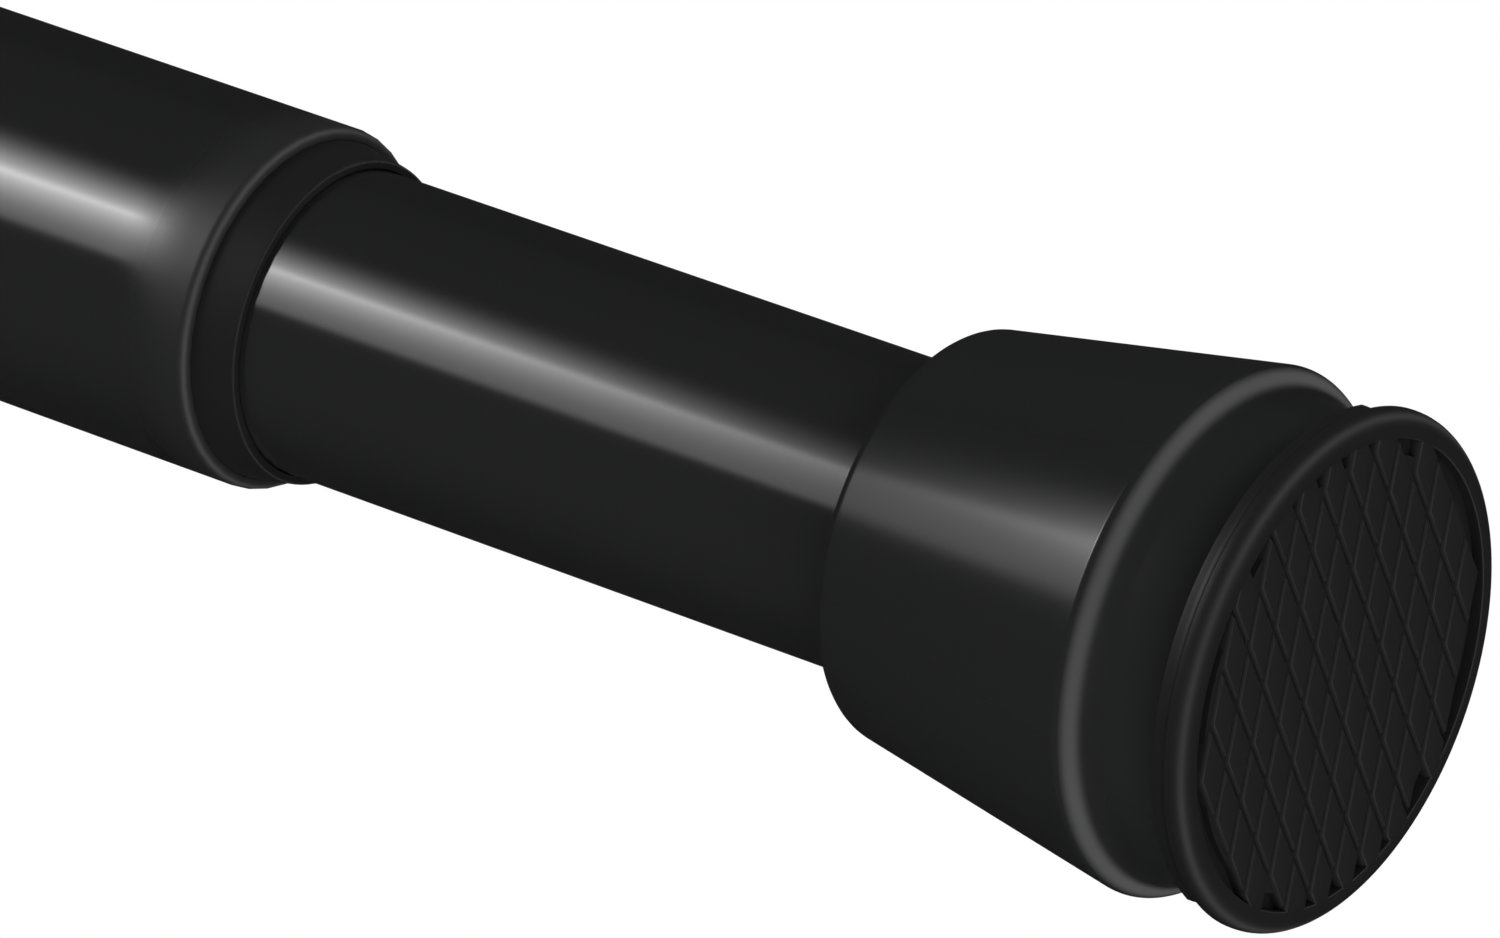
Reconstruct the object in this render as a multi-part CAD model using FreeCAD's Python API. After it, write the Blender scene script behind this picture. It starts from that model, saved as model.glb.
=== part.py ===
"""Adjustable shower curtain rod: a telescopic tube held between two walls by spring force.

The rod lies along +X. The origin is the centre of the larger tube's foot, on the face that
meets the wall, and +Z is up. All sizes are in millimetres.

Each end is drawn in an end frame: the foot's face is at x = 0, it looks along +X, and the
rest of the end lies at negative x. The smaller tube's end is shifted to the rod's length,
and the larger tube's end is turned half round about Z.
"""
import FreeCAD, Part
import math
import os

from FreeCAD import Vector

os.makedirs("parts", exist_ok=True)

# Lengths of the whole rod, from foot face to foot face
CLOSED_LENGTH = 1066.8
FULL_LENGTH = 1828.8
SHOWN_TUBE = 50.3
CLOSED_GAP = 2.0

# How far a cutting shape runs past what it cuts
OVERRUN = 1.0

# Tubes
OUTER_TUBE_DIA = 25.4
OUTER_TUBE_WALL = 0.8
INNER_TUBE_DIA = 21.35
INNER_TUBE_WALL = 0.8
TUBE_EDGE_ROUND = 0.7

# Collar in the larger tube's mouth
COLLAR_SLEEVE_LENGTH = 30.0
COLLAR_NOSE_LENGTH = 3.2
COLLAR_NOSE_TAPER = 0.55
COLLAR_LIP_ROUND = 0.2
COLLAR_SLOT_WIDTH = 2.5
COLLAR_SLOT_LENGTH = 20.0
COLLAR_SLOT_COUNT = 3

# End cap
CAP_RIM_DIA = 35.6
CAP_BACK_WALL = 3.5
CAP_FRONT_SETBACK = 5.9
CAP_RIM_SETBACK = 10.4
CAP_LENGTH = 25.8
CAP_FRONT_DIA = 23.6
CAP_NOSE_BULGE = 0.8
CAP_RIM_ROUND = 0.8
CAP_BACK_ROUND = 1.2
CAP_WEB = 4.4

# Foot: the soft pad
PAD_DIA = 34.4
PAD_FRONT_ROUND = 0.9
PAD_EDGE_LAND = 0.2
PAD_RIM_THICKNESS = 1.9
PAD_BACK_TAPER = 0.45
PAD_FLANGE_DIA = 34.5
PAD_FLANGE_THICKNESS = 0.45
PAD_NOTCH_ANGLE = 57.0
PAD_NOTCH_SPAN = 31.0
PAD_BOSS_DIA = 22.0
PAD_RIM_WIDTH = 1.4
PAD_FIELD_DEPTH = 0.9

# Foot: the diamond studs of the pad's face
DIAMOND_SPACING = 2.6
DIAMOND_SHARP_ANGLE = 43.0
DIAMOND_GROOVE_TOP = 0.45
DIAMOND_GROOVE_BOTTOM = 0.15
DIAMOND_UPRIGHT_ANGLE = 94.5

# Foot: the hard base with its hexagonal key
BASE_SETBACK = 5.0
BASE_KEY_FLATS = 20.0
BASE_KEY_DEPTH = 4.6
BASE_KEY_CHAMFER_ANGLE = 15.0
BASE_KEY_CORNER_ANGLE = 57.0
BASE_STUD_DIA = 14.0
BASE_STUD_REACH = 2.6
BASE_BEAD_HEIGHT = 0.5
BASE_BEAD_WIDTH = 1.0
BASE_SPIGOT_DIA = 15.0
BASE_SPIGOT_LENGTH = 3.4
KEY_CLEARANCE = 0.15
SEAT_CLEARANCE = 0.05

# Foot screw
SCREW_SHANK_DIA = 3.8
SCREW_HEAD_DIA = 7.6
SCREW_HEAD_TOP_DIA = 5.3
SCREW_HEAD_EDGE = 1.1
SCREW_HEAD_HEIGHT = 2.2
SCREW_LENGTH = 18.0
SCREW_DRIVE_WIDTH = 1.0
SCREW_DRIVE_SPAN = 4.4
SCREW_DRIVE_DEPTH = 1.2
SCREW_HOLE_CLEARANCE = 0.25

# Plug in each tube's end, behind the cap's web
PLUG_LENGTH = 18.0
PLUG_WALL = 1.6
PLUG_FACE = 3.0
PLUG_BOSS_DIA = 8.4
PLUG_RIB_COUNT = 4
PLUG_RIB_WIDTH = 1.4
PLUG_RIB_ROOT = 0.5

# Twist lock
THREAD_DIA = 8.0
THREAD_PITCH = 3.0
LOCK_TURNS = 1.5
RUNNING_CLEARANCE = 0.08
SLEEVE_BORE_GAP = 0.35
SLEEVE_HUB_LENGTH = 9.0
SLEEVE_FINGER_LENGTH = 24.0
SLEEVE_SLOT_COUNT = 4
SLEEVE_SLOT_WIDTH = 2.6
CONE_LENGTH = 18.0
CONE_BIG_DIA = 18.4
CONE_HALF_ANGLE = 9.0
CONE_LIMIT_GAP = 0.35
CONE_KEY_CLEARANCE = 0.35
CONE_KEY_INSET = 0.9
CONE_KEY_ROOT = 1.0
CONE_REST_STANDOFF = 6.0
JOURNAL_DIA = 11.0
JOURNAL_LEAD = 1.0
SPINDLE_TIP_REACH = 1.0
SPINDLE_TIP_CHAMFER = 0.8
SHOULDER_DIA = 17.0
SHOULDER_LENGTH = 2.8
AXIAL_CLEARANCE = 0.15
CLIP_THICKNESS = 1.2
CLIP_DIA = 15.0
CLIP_GAP_ANGLE = 40.0
CLIP_GROOVE_DEPTH = 0.8
CLIP_CLEARANCE = 0.35
END_NUT_FLATS = 12.0
END_NUT_LENGTH = 4.0
END_NUT_MARGIN = 1.5

# Spring unit in the smaller tube's tail
SPRING_TRAVEL = 20.0
SPRING_ROOM = 60.0
SPRING_WIRE_DIA = 1.8
SPRING_COILS = 13
SPRING_TUBE_GAP = 1.0
TRAVEL_MARGIN = 3.0
DRIVE_FLATS = 9.0
DRIVE_CLEARANCE = 0.08
BUSH_LENGTH = 14.0
BUSH_FLANGE_THICKNESS = 2.0
BUSH_WALL = 2.0
BUSH_LAND_LENGTH = 2.0
SEAT_THICKNESS = 3.0
SEAT_GAP = 0.3
SEAT_TUBE_GAP = 0.6
SEAT_BOSS_LENGTH = 5.0
SEAT_BOSS_DIA = 12.6
SEAT_PIN_DIA = 3.0
STOP_LENGTH = 12.0
STOP_BORE_DIA = 8.0
PARK_GAP = 6.0

# Sizes that follow from the ones above
REST_LENGTH = CLOSED_LENGTH - CLOSED_GAP + SHOWN_TUBE
LOCK_TRAVEL_IN = SHOWN_TUBE - CLOSED_GAP - SPRING_TRAVEL
LOCK_TRAVEL_OUT = FULL_LENGTH - REST_LENGTH
OUTER_TUBE_R = OUTER_TUBE_DIA / 2
OUTER_BORE_R = OUTER_TUBE_R - OUTER_TUBE_WALL
INNER_TUBE_R = INNER_TUBE_DIA / 2
INNER_BORE_R = INNER_TUBE_R - INNER_TUBE_WALL
KEY_SEAT = BASE_SETBACK + BASE_KEY_DEPTH
TUBE_SETBACK = KEY_SEAT + CAP_WEB
CAP_BACK_SETBACK = CAP_FRONT_SETBACK + CAP_LENGTH
LIP_X = REST_LENGTH - CAP_BACK_SETBACK - SHOWN_TUBE
MOUTH_X = LIP_X - COLLAR_NOSE_LENGTH
CONE_TRAVEL = THREAD_PITCH * LOCK_TURNS
HUB_RIGHT = -(SPRING_TRAVEL + TRAVEL_MARGIN + BUSH_FLANGE_THICKNESS + SHOULDER_LENGTH + AXIAL_CLEARANCE)
HUB_LEFT = HUB_RIGHT - SLEEVE_HUB_LENGTH
SLEEVE_LEFT = HUB_LEFT - SLEEVE_FINGER_LENGTH
CONE_LEFT = SLEEVE_LEFT - CONE_REST_STANDOFF
END_NUT_LEFT = CONE_LEFT - END_NUT_MARGIN - END_NUT_LENGTH
SPINDLE_LEFT = END_NUT_LEFT - SPINDLE_TIP_REACH
TAIL_X = TUBE_SETBACK + PLUG_LENGTH + PARK_GAP + LOCK_TRAVEL_IN - SPINDLE_LEFT

X_AXIS = Vector(1, 0, 0)
Z_AXIS = Vector(0, 0, 1)
CENTRE = Vector(0, 0, 0)


def save(shape, node):
    """Write one piece to its own file."""
    shape.exportStep("parts/" + node + ".step")
    print(node, round(shape.Volume, 1), "mm3", len(shape.Solids), "solid", shape.isValid())


def rod(x_low, x_high, radius):
    """Return a round bar along X."""
    return Part.makeCylinder(radius, x_high - x_low, Vector(x_low, 0, 0), X_AXIS)


def ring(x_low, x_high, inner_radius, outer_radius):
    """Return a round sleeve along X."""
    return rod(x_low, x_high, outer_radius).cut(rod(x_low - OVERRUN, x_high + OVERRUN, inner_radius))


def turned(edges):
    """Return the solid that a closed half profile of edges in the XY plane sweeps about X."""
    face = Part.Face(Part.Wire(edges))
    return face.revolve(CENTRE, X_AXIS, 360)


def profile(points):
    """Return the edges of a closed half profile through (x, radius) points."""
    corners = [Vector(x, radius, 0) for x, radius in points]
    return Part.makePolygon(corners + corners[:1]).Edges


def hexagon_bar(x_low, x_high, across_flats, corner_angle):
    """Return a hexagonal bar along X with one corner at the given angle from +Y."""
    corner_radius = across_flats / 2 / math.cos(math.radians(30))
    corners = []
    for index in range(6):
        angle = math.radians(corner_angle + 60 * index)
        corners.append(Vector(x_low, corner_radius * math.cos(angle), corner_radius * math.sin(angle)))
    face = Part.Face(Part.makePolygon(corners + corners[:1]))
    return face.extrude(Vector(x_high - x_low, 0, 0))


def radial_bar(x_low, x_high, inner_radius, outer_radius, width, angle):
    """Return a flat bar that runs outwards from the axis at the given angle from +Y."""
    bar = Part.makeBox(
        x_high - x_low, outer_radius - inner_radius, width, Vector(x_low, inner_radius, -width / 2)
    )
    bar.rotate(CENTRE, X_AXIS, angle)
    return bar


def sector_bar(x_low, x_high, reach, middle_angle, span):
    """Return a bar with a triangular section that covers a sector about X, out to the reach."""
    corners = [Vector(x_low, 0, 0)]
    side = reach / math.cos(math.radians(span / 2))
    for angle in (middle_angle - span / 2, middle_angle + span / 2):
        turn = math.radians(angle)
        corners.append(Vector(x_low, side * math.cos(turn), side * math.sin(turn)))
    face = Part.Face(Part.makePolygon(corners + corners[:1]))
    return face.extrude(Vector(x_high - x_low, 0, 0))


def round_edges(shape, radius, chosen):
    """Round those edges of a shape that the test picks."""
    edges = [edge for edge in shape.Edges if chosen(edge)]
    return shape.makeFillet(radius, edges)


def circle_at(x, radius):
    """Return a test for the circular edge about X at the given place and radius."""
    def chosen(edge):
        curve = edge.Curve
        if not isinstance(curve, Part.Circle):
            return False
        return abs(curve.Center.x - x) < 0.01 and abs(curve.Radius - radius) < 0.01
    return chosen


def place_at_inner_end(shape):
    """Move a piece from the end frame to the smaller tube's end."""
    moved = shape.copy()
    moved.translate(Vector(REST_LENGTH, 0, 0))
    return moved


def place_at_outer_end(shape):
    """Turn a piece from the end frame to the larger tube's end."""
    moved = shape.copy()
    moved.rotate(CENTRE, Z_AXIS, 180)
    return moved


def diamond(centre_y, centre_z, groove, x):
    """Return the outline of one diamond, drawn in by half a groove's width on all sides."""
    half_angle = math.radians(DIAMOND_SHARP_ANGLE / 2)
    spacing = DIAMOND_SPACING - groove
    half_long = spacing / 2 / math.sin(half_angle)
    half_short = spacing / 2 / math.cos(half_angle)
    long_way = math.radians(DIAMOND_UPRIGHT_ANGLE)
    corners = []
    for index, reach in enumerate((half_long, half_short, half_long, half_short)):
        angle = long_way + index * math.pi / 2
        corners.append(Vector(x, centre_y + reach * math.cos(angle), centre_z + reach * math.sin(angle)))
    return Part.makePolygon(corners + corners[:1])


def diamond_studs(field_radius):
    """Return the raised diamonds whose centres lie in the pad's field."""
    half_angle = math.radians(DIAMOND_SHARP_ANGLE / 2)
    half_long = DIAMOND_SPACING / 2 / math.sin(half_angle)
    half_short = DIAMOND_SPACING / 2 / math.cos(half_angle)
    long_way = math.radians(DIAMOND_UPRIGHT_ANGLE)
    long_y, long_z = math.cos(long_way), math.sin(long_way)
    rows = int(field_radius / half_long) + 1
    columns = int(field_radius / half_short) + 1
    studs = []
    for row in range(-rows, rows + 1):
        for column in range(-columns, columns + 1):
            if (row + column) % 2:
                continue
            along = row * half_long
            across = column * half_short
            if math.hypot(along, across) > field_radius:
                continue
            centre_y = along * long_y - across * long_z
            centre_z = along * long_z + across * long_y
            foot = diamond(centre_y, centre_z, DIAMOND_GROOVE_BOTTOM, -PAD_FIELD_DEPTH)
            top = diamond(centre_y, centre_z, DIAMOND_GROOVE_TOP, 0)
            studs.append(Part.makeLoft([foot, top], True))
    return studs


def foot_pad():
    """Return the soft pad: rounded rim, sunk field of diamonds, notched back flange and socket."""
    pad_radius = PAD_DIA / 2
    back_radius = pad_radius - PAD_BACK_TAPER
    boss_radius = PAD_BOSS_DIA / 2
    flange_radius = PAD_FLANGE_DIA / 2
    flange_back = -PAD_RIM_THICKNESS - PAD_FLANGE_THICKNESS
    pad = turned(profile([
        (0, 0),
        (0, pad_radius),
        (-PAD_FRONT_ROUND - PAD_EDGE_LAND, pad_radius),
        (-PAD_RIM_THICKNESS, back_radius),
        (-PAD_RIM_THICKNESS, flange_radius),
        (flange_back, flange_radius),
        (flange_back, boss_radius),
        (-BASE_SETBACK, boss_radius),
        (-BASE_SETBACK, 0),
    ]))
    pad = round_edges(pad, PAD_FRONT_ROUND, circle_at(0, pad_radius))
    skirt = ring(flange_back - OVERRUN, -PAD_RIM_THICKNESS, back_radius, flange_radius + OVERRUN)
    for angle in (PAD_NOTCH_ANGLE, PAD_NOTCH_ANGLE + 180):
        sector = sector_bar(flange_back - OVERRUN, 0, flange_radius + OVERRUN, angle, PAD_NOTCH_SPAN)
        pad = pad.cut(skirt.common(sector))
    field_radius = pad_radius - PAD_RIM_WIDTH
    field = rod(-PAD_FIELD_DEPTH, OVERRUN, field_radius)
    pad = pad.cut(field.cut(diamond_studs(field_radius)))
    socket_radius = BASE_STUD_DIA / 2 + SEAT_CLEARANCE
    bead_radius = socket_radius + BASE_BEAD_HEIGHT
    stud_tip = BASE_STUD_REACH - BASE_SETBACK
    pad = pad.cut(rod(-BASE_SETBACK - OVERRUN, stud_tip + SEAT_CLEARANCE, socket_radius))
    bead_low = stud_tip - BASE_BEAD_WIDTH - SEAT_CLEARANCE
    return pad.cut(rod(bead_low, stud_tip + SEAT_CLEARANCE, bead_radius))


def key_shape(clearance):
    """Return the foot base's hexagonal key, whose corners are turned down towards the cap."""
    across = BASE_KEY_FLATS + 2 * clearance
    corner_radius = across / 2 / math.cos(math.radians(30))
    back_radius = corner_radius - BASE_KEY_DEPTH * math.tan(math.radians(BASE_KEY_CHAMFER_ANGLE))
    bar = hexagon_bar(-KEY_SEAT, -BASE_SETBACK, across, BASE_KEY_CORNER_ANGLE)
    blank = turned(profile([
        (-KEY_SEAT, 0),
        (-KEY_SEAT, back_radius),
        (-BASE_SETBACK, corner_radius),
        (-BASE_SETBACK, 0),
    ]))
    return bar.common(blank)


def foot_base():
    """Return the hard base: a stud for the pad, a hexagonal key and a spigot for the cap."""
    stud_radius = BASE_STUD_DIA / 2
    stud_tip = BASE_STUD_REACH - BASE_SETBACK
    bead_low = stud_tip - BASE_BEAD_WIDTH
    base = key_shape(0)
    base = base.fuse(rod(-BASE_SETBACK, stud_tip, stud_radius))
    base = base.fuse(rod(bead_low, stud_tip, stud_radius + BASE_BEAD_HEIGHT))
    spigot_end = -KEY_SEAT - BASE_SPIGOT_LENGTH
    base = base.fuse(rod(spigot_end, -KEY_SEAT, BASE_SPIGOT_DIA / 2))
    head_room = SCREW_HEAD_DIA / 2 + SCREW_HOLE_CLEARANCE
    head_seat = stud_tip - SCREW_HEAD_HEIGHT - SEAT_CLEARANCE
    base = base.cut(rod(head_seat, 0, head_room))
    base = base.cut(rod(spigot_end - OVERRUN, 0, SCREW_SHANK_DIA / 2 + SCREW_HOLE_CLEARANCE))
    return base.removeSplitter()


def foot_screw():
    """Return the pan head screw that holds base and cap to the tube's plug."""
    shank_radius = SCREW_SHANK_DIA / 2
    head_radius = SCREW_HEAD_DIA / 2
    head_front = BASE_STUD_REACH - BASE_SETBACK - SEAT_CLEARANCE
    head_seat = head_front - SCREW_HEAD_HEIGHT
    tip = head_seat - SCREW_LENGTH
    screw = turned(profile([
        (head_front, 0),
        (head_front, SCREW_HEAD_TOP_DIA / 2),
        (head_seat + SCREW_HEAD_EDGE, head_radius),
        (head_seat, head_radius),
        (head_seat, shank_radius),
        (tip + SCREW_SHANK_DIA, shank_radius),
        (tip, 0),
    ]))
    for angle in (0, 90):
        slot = Part.makeBox(
            SCREW_DRIVE_DEPTH, SCREW_DRIVE_SPAN, SCREW_DRIVE_WIDTH,
            Vector(head_front - SCREW_DRIVE_DEPTH, -SCREW_DRIVE_SPAN / 2, -SCREW_DRIVE_WIDTH / 2),
        )
        slot.rotate(CENTRE, X_AXIS, angle)
        screw = screw.cut(slot)
    return screw


def end_cap(tube_radius):
    """Return a tapered end cap: rounded nose, hexagonal pocket, web and tube socket."""
    rim_radius = CAP_RIM_DIA / 2
    back_radius = tube_radius + CAP_BACK_WALL
    front_radius = CAP_FRONT_DIA / 2
    front = Vector(-CAP_FRONT_SETBACK, front_radius, 0)
    rim = Vector(-CAP_RIM_SETBACK, rim_radius, 0)
    back = Vector(-CAP_BACK_SETBACK, back_radius, 0)
    chord = rim.sub(front)
    outwards = Vector(-chord.y, chord.x, 0).normalize()
    if outwards.y < 0:
        outwards = outwards.negative()
    crown = front.add(chord.multiply(0.5)).add(outwards.multiply(CAP_NOSE_BULGE))
    cap = turned([
        Part.makeLine(Vector(front.x, 0, 0), front),
        Part.Arc(front, crown, rim).toShape(),
        Part.makeLine(rim, back),
        Part.makeLine(back, Vector(back.x, 0, 0)),
        Part.makeLine(Vector(back.x, 0, 0), Vector(front.x, 0, 0)),
    ])
    cap = round_edges(cap, CAP_RIM_ROUND, circle_at(rim.x, rim_radius))
    cap = round_edges(cap, CAP_BACK_ROUND, circle_at(back.x, back_radius))
    cap = cap.cut(key_shape(KEY_CLEARANCE))
    cap = cap.cut(rod(back.x - OVERRUN, -TUBE_SETBACK, tube_radius))
    spigot_room = BASE_SPIGOT_DIA / 2 + SEAT_CLEARANCE
    return cap.cut(rod(-TUBE_SETBACK - OVERRUN, -KEY_SEAT + OVERRUN, spigot_room))


def tube_plug(bore_radius):
    """Return the plug pressed in a tube's end: a ribbed cup with a boss for the foot screw."""
    radius = bore_radius - SEAT_CLEARANCE
    face_front = -TUBE_SETBACK
    back = face_front - PLUG_LENGTH
    boss_radius = PLUG_BOSS_DIA / 2
    plug = rod(back, face_front, radius)
    plug = plug.cut(ring(back - OVERRUN, face_front - PLUG_FACE, boss_radius, radius - PLUG_WALL))
    for index in range(PLUG_RIB_COUNT):
        angle = index * 360 / PLUG_RIB_COUNT
        plug = plug.fuse(radial_bar(
            back, face_front - PLUG_FACE, boss_radius - PLUG_RIB_ROOT,
            radius - PLUG_WALL + PLUG_RIB_ROOT, PLUG_RIB_WIDTH, angle,
        ))
    screw_room = SCREW_SHANK_DIA / 2 + SEAT_CLEARANCE
    plug = plug.cut(rod(back - OVERRUN, face_front + OVERRUN, screw_room))
    return plug.removeSplitter()


def round_tube(x_low, x_high, outer_radius, wall, rounded_x):
    """Return a drawn tube whose outer edge at one end is rounded."""
    tube = ring(x_low, x_high, outer_radius - wall, outer_radius)
    if rounded_x is None:
        return tube
    return round_edges(tube, TUBE_EDGE_ROUND, circle_at(rounded_x, outer_radius))


def mouth_collar():
    """Return the slotted guide collar, whose tapered nose stands out of the larger tube."""
    bore = INNER_TUBE_R + RUNNING_CLEARANCE
    seat = OUTER_BORE_R - SEAT_CLEARANCE
    tail = MOUTH_X - COLLAR_SLEEVE_LENGTH
    collar = turned(profile([
        (tail, bore),
        (tail, seat),
        (MOUTH_X, seat),
        (LIP_X, seat - COLLAR_NOSE_TAPER),
        (LIP_X, bore),
    ]))
    collar = round_edges(collar, COLLAR_LIP_ROUND, circle_at(LIP_X, seat - COLLAR_NOSE_TAPER))
    for index in range(COLLAR_SLOT_COUNT):
        angle = index * 360 / COLLAR_SLOT_COUNT
        collar = collar.cut(radial_bar(
            tail - OVERRUN, tail + COLLAR_SLOT_LENGTH,
            bore - OVERRUN, seat + OVERRUN, COLLAR_SLOT_WIDTH, angle,
        ))
    return collar


def lock_sleeve():
    """Return the split sleeve that grips the larger tube when the cone is drawn in."""
    radius = OUTER_BORE_R - SLEEVE_BORE_GAP
    taper = math.tan(math.radians(CONE_HALF_ANGLE))
    mouth_radius = CONE_BIG_DIA / 2 + CONE_LIMIT_GAP - (CONE_REST_STANDOFF - CONE_TRAVEL) * taper
    throat_radius = mouth_radius - SLEEVE_FINGER_LENGTH * taper
    journal = JOURNAL_DIA / 2 + RUNNING_CLEARANCE
    sleeve = turned(profile([
        (SLEEVE_LEFT, mouth_radius),
        (SLEEVE_LEFT, radius),
        (HUB_RIGHT, radius),
        (HUB_RIGHT, journal),
        (HUB_LEFT, journal),
        (HUB_LEFT, throat_radius),
    ]))
    for index in range(SLEEVE_SLOT_COUNT):
        angle = index * 360 / SLEEVE_SLOT_COUNT
        sleeve = sleeve.cut(radial_bar(
            SLEEVE_LEFT - OVERRUN, HUB_LEFT, journal, radius + OVERRUN, SLEEVE_SLOT_WIDTH, angle,
        ))
    clip_room = CLIP_DIA / 2 + CLIP_CLEARANCE
    clip_seat = HUB_LEFT + CLIP_THICKNESS + 2 * AXIAL_CLEARANCE
    return sleeve.cut(rod(HUB_LEFT - OVERRUN, clip_seat, clip_room))


def lock_cone():
    """Return the threaded cone, kept from turning by two keys in the sleeve's slots."""
    taper = math.tan(math.radians(CONE_HALF_ANGLE))
    big = CONE_BIG_DIA / 2
    small = big - CONE_LENGTH * taper
    cone = turned(profile([
        (CONE_LEFT, 0),
        (CONE_LEFT, big),
        (CONE_LEFT + CONE_LENGTH, small),
        (CONE_LEFT + CONE_LENGTH, 0),
    ]))
    key_reach = OUTER_BORE_R - SLEEVE_BORE_GAP - CONE_KEY_INSET
    key_width = SLEEVE_SLOT_WIDTH - 2 * CONE_KEY_CLEARANCE
    for angle in (0, 180):
        cone = cone.fuse(radial_bar(
            CONE_LEFT, CONE_LEFT + CONE_LENGTH, THREAD_DIA / 2 + CONE_KEY_ROOT, key_reach, key_width, angle
        ))
    thread_room = THREAD_DIA / 2 + RUNNING_CLEARANCE
    cone = cone.cut(rod(CONE_LEFT - OVERRUN, CONE_LEFT + CONE_LENGTH + OVERRUN, thread_room))
    return cone.removeSplitter()


def spindle():
    """Return the spindle: thread for the cone, journal, shoulder and hexagonal drive shaft."""
    thread_radius = THREAD_DIA / 2
    journal = JOURNAL_DIA / 2
    groove_low = HUB_LEFT
    groove_high = HUB_LEFT + CLIP_THICKNESS + AXIAL_CLEARANCE
    groove = journal - CLIP_GROOVE_DEPTH
    shoulder_left = HUB_RIGHT + AXIAL_CLEARANCE
    shoulder_right = shoulder_left + SHOULDER_LENGTH
    shaft_end = BUSH_LENGTH + SEAT_GAP + SEAT_THICKNESS + SEAT_BOSS_LENGTH
    body = turned(profile([
        (SPINDLE_LEFT, 0),
        (SPINDLE_LEFT, thread_radius - SPINDLE_TIP_CHAMFER),
        (SPINDLE_LEFT + SPINDLE_TIP_CHAMFER, thread_radius),
        (groove_low - JOURNAL_LEAD, thread_radius),
        (groove_low - JOURNAL_LEAD, journal),
        (groove_low, journal),
        (groove_low, groove),
        (groove_high, groove),
        (groove_high, journal),
        (shoulder_left, journal),
        (shoulder_left, SHOULDER_DIA / 2),
        (shoulder_right, SHOULDER_DIA / 2),
        (shoulder_right, 0),
    ]))
    shaft = hexagon_bar(shoulder_right, shaft_end, DRIVE_FLATS, 0)
    pin_hole = Part.makeCylinder(
        SEAT_PIN_DIA / 2 + SEAT_CLEARANCE, 2 * INNER_BORE_R,
        Vector(shaft_end - SEAT_BOSS_LENGTH / 2, 0, -INNER_BORE_R), Z_AXIS,
    )
    return body.fuse(shaft).cut(pin_hole)


def spindle_clip():
    """Return the open ring that holds the spindle in the sleeve's hub."""
    low = HUB_LEFT + AXIAL_CLEARANCE / 2
    inner = JOURNAL_DIA / 2 - CLIP_GROOVE_DEPTH + SEAT_CLEARANCE
    clip = ring(low, low + CLIP_THICKNESS, inner, CLIP_DIA / 2)
    half_gap = math.radians(CLIP_GAP_ANGLE / 2)
    reach = CLIP_DIA
    mouth = Part.Face(Part.makePolygon([
        Vector(low - OVERRUN, 0, 0),
        Vector(low - OVERRUN, -reach * math.sin(half_gap), reach * math.cos(half_gap)),
        Vector(low - OVERRUN, reach * math.sin(half_gap), reach * math.cos(half_gap)),
        Vector(low - OVERRUN, 0, 0),
    ])).extrude(Vector(CLIP_THICKNESS + 2 * OVERRUN, 0, 0))
    return clip.cut(mouth)


def end_nut():
    """Return the nut on the thread's end, which keeps the cone from running off."""
    nut = hexagon_bar(END_NUT_LEFT, END_NUT_LEFT + END_NUT_LENGTH, END_NUT_FLATS, 0)
    thread_room = THREAD_DIA / 2 + SEAT_CLEARANCE
    return nut.cut(rod(END_NUT_LEFT - OVERRUN, END_NUT_LEFT + END_NUT_LENGTH + OVERRUN, thread_room))


def tail_bush():
    """Return the bush in the smaller tube's tail, with a hexagonal hole for the drive shaft."""
    radius = INNER_BORE_R - SEAT_CLEARANCE
    bush = rod(0, BUSH_LENGTH, radius)
    bush = bush.fuse(rod(-BUSH_FLANGE_THICKNESS, 0, INNER_TUBE_R))
    hole_flats = DRIVE_FLATS + 2 * DRIVE_CLEARANCE
    hole = hexagon_bar(-BUSH_FLANGE_THICKNESS - OVERRUN, BUSH_LENGTH + OVERRUN, hole_flats, 0)
    drive_corner = DRIVE_FLATS / 2 / math.cos(math.radians(30))
    relief_end = BUSH_LENGTH - BUSH_LAND_LENGTH
    relief = ring(BUSH_LAND_LENGTH, relief_end, drive_corner + BUSH_WALL, radius + OVERRUN)
    return bush.cut(hole).cut(relief).removeSplitter()


def spring_seat():
    """Return the disc and boss on the drive shaft's end that the spring pushes against."""
    low = BUSH_LENGTH + SEAT_GAP
    high = low + SEAT_THICKNESS
    seat = rod(low, high, INNER_BORE_R - SEAT_TUBE_GAP)
    seat = seat.fuse(rod(high, high + SEAT_BOSS_LENGTH, SEAT_BOSS_DIA / 2))
    hole_flats = DRIVE_FLATS + 2 * SEAT_CLEARANCE
    hole = hexagon_bar(low - OVERRUN, high + SEAT_BOSS_LENGTH + OVERRUN, hole_flats, 0)
    pin_hole = Part.makeCylinder(
        SEAT_PIN_DIA / 2 + SEAT_CLEARANCE, 2 * INNER_BORE_R,
        Vector(high + SEAT_BOSS_LENGTH / 2, 0, -INNER_BORE_R), Z_AXIS,
    )
    return seat.cut(hole).cut(pin_hole)


def seat_pin():
    """Return the cross pin through spring seat and drive shaft."""
    x = BUSH_LENGTH + SEAT_GAP + SEAT_THICKNESS + SEAT_BOSS_LENGTH / 2
    return Part.makeCylinder(SEAT_PIN_DIA / 2, SEAT_BOSS_DIA, Vector(x, 0, -SEAT_BOSS_DIA / 2), Z_AXIS)


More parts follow.
